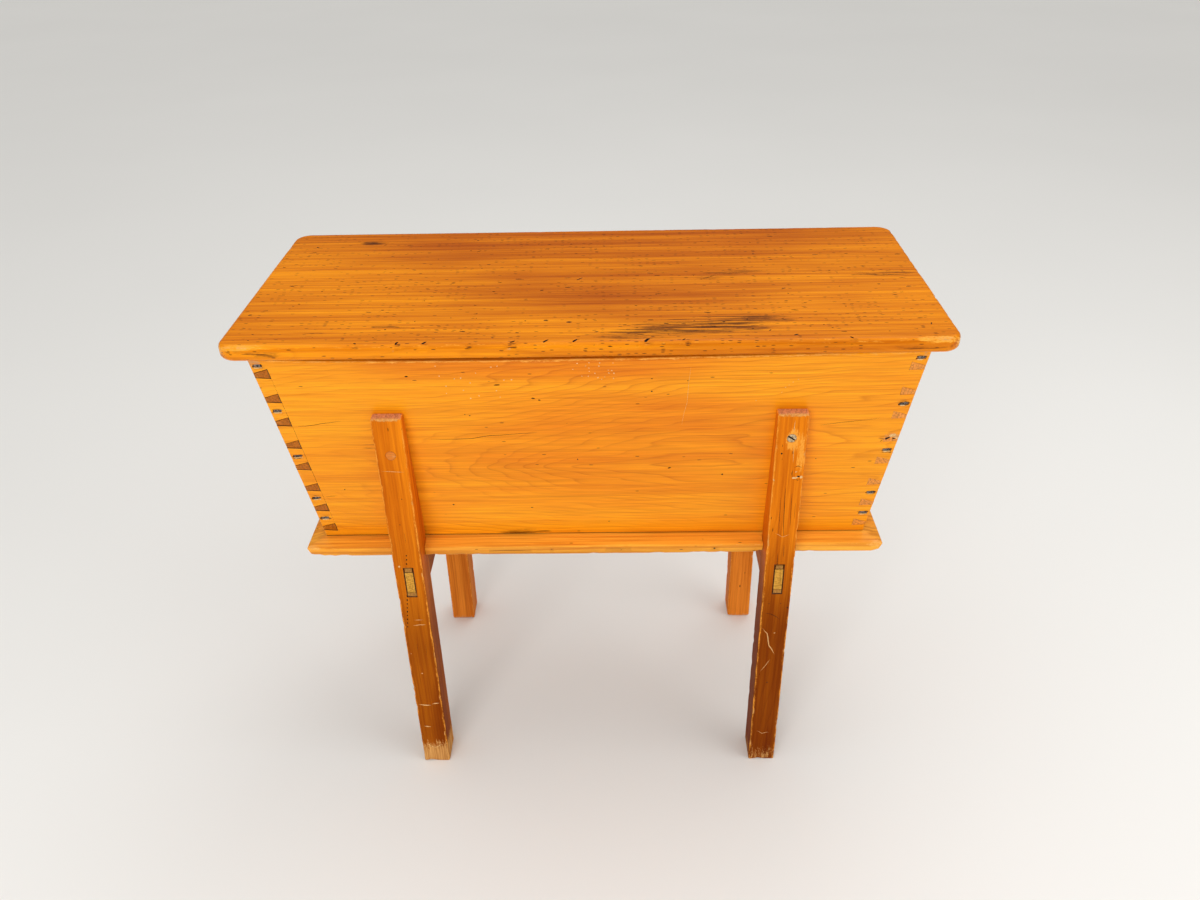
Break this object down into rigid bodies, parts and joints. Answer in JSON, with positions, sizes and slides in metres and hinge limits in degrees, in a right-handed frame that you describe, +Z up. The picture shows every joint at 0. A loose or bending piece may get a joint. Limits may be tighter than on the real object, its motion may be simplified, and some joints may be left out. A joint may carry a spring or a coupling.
{
  "type": "dough box on stand",
  "caption": "Flared, dovetailed pine dough box with a loose board lid, standing between four posts tied in pairs by wedged bearers under a bevelled bottom board.",
  "frame": {"origin": "on the floor, under the middle of the box", "axes": "+X along the length to the right as seen from the front, +Y from front to back, +Z up"},
  "size_m": [0.928, 0.404, 0.7549],
  "materials": {
    "box_pine": "old honey-coloured pine, waxed, glossy",
    "lid_pine": "old honey-brown pine, worn and waxed, flecked along the grain",
    "leg_pine": "red-brown stained pine, scuffed, worn along the edges",
    "wedge_pine": "pale end grain of pine, dull",
    "plug_wood": "end-grain plug, waxed",
    "nail_iron": "old wrought iron, dark, dull",
    "screw_steel": "old steel, worn and slightly tarnished"
  },
  "bodies": {
    "box_and_stand": {"back_board": "box_pine", "bearer_left": "leg_pine", "bearer_right": "leg_pine", "bottom_board": "box_pine", "bottom_nail_back_board_1": "nail_iron", "bottom_nail_back_board_2": "nail_iron", "bottom_nail_back_board_3": "nail_iron", "bottom_nail_front_board_1": "nail_iron", "bottom_nail_front_board_2": "nail_iron", "bottom_nail_front_board_3": "nail_iron", "bottom_nail_left_end_board_1": "nail_iron", "bottom_nail_right_end_board_1": "nail_iron", "corner_nail_back_left_1": "nail_iron", "corner_nail_back_left_2": "nail_iron", "corner_nail_back_left_3": "nail_iron", "corner_nail_back_left_4": "nail_iron", "corner_nail_back_left_5": "nail_iron", "corner_nail_back_right_1": "nail_iron", "corner_nail_back_right_2": "nail_iron", "corner_nail_back_right_3": "nail_iron", "corner_nail_back_right_4": "nail_iron", "corner_nail_back_right_5": "nail_iron", "corner_nail_front_left_1": "nail_iron", "corner_nail_front_left_2": "nail_iron", "corner_nail_front_left_3": "nail_iron", "corner_nail_front_left_4": "nail_iron", "corner_nail_front_left_5": "nail_iron", "corner_nail_front_right_1": "nail_iron", "corner_nail_front_right_2": "nail_iron", "corner_nail_front_right_3": "nail_iron", "corner_nail_front_right_4": "nail_iron", "corner_nail_front_right_5": "nail_iron", "front_board": "box_pine", "left_end_board": "box_pine", "leg_back_left": "leg_pine", "leg_back_right": "leg_pine", "leg_front_left": "leg_pine", "leg_front_right": "leg_pine", "leg_plug_front_left": "plug_wood", "leg_screw_back_left": "screw_steel", "leg_screw_back_right": "screw_steel", "leg_screw_front_left": "screw_steel", "leg_screw_front_right": "screw_steel", "right_end_board": "box_pine", "wedge_back_left_lower": "wedge_pine", "wedge_back_left_upper": "wedge_pine", "wedge_back_right_lower": "wedge_pine", "wedge_back_right_upper": "wedge_pine", "wedge_front_left_lower": "wedge_pine", "wedge_front_left_upper": "wedge_pine", "wedge_front_right_lower": "wedge_pine", "wedge_front_right_upper": "wedge_pine"},
    "lid": {"batten_screw_back_left": "screw_steel", "batten_screw_back_right": "screw_steel", "batten_screw_front_left": "screw_steel", "batten_screw_front_right": "screw_steel", "lid_batten_left": "box_pine", "lid_batten_right": "box_pine", "lid_board": "lid_pine"}
  },
  "joints": [
    {"name": "lid_lift", "type": "slide", "parent": "box_and_stand", "child": "lid", "axis": [0, 0, 1], "range_m": [0, 0.3]}
  ]
}
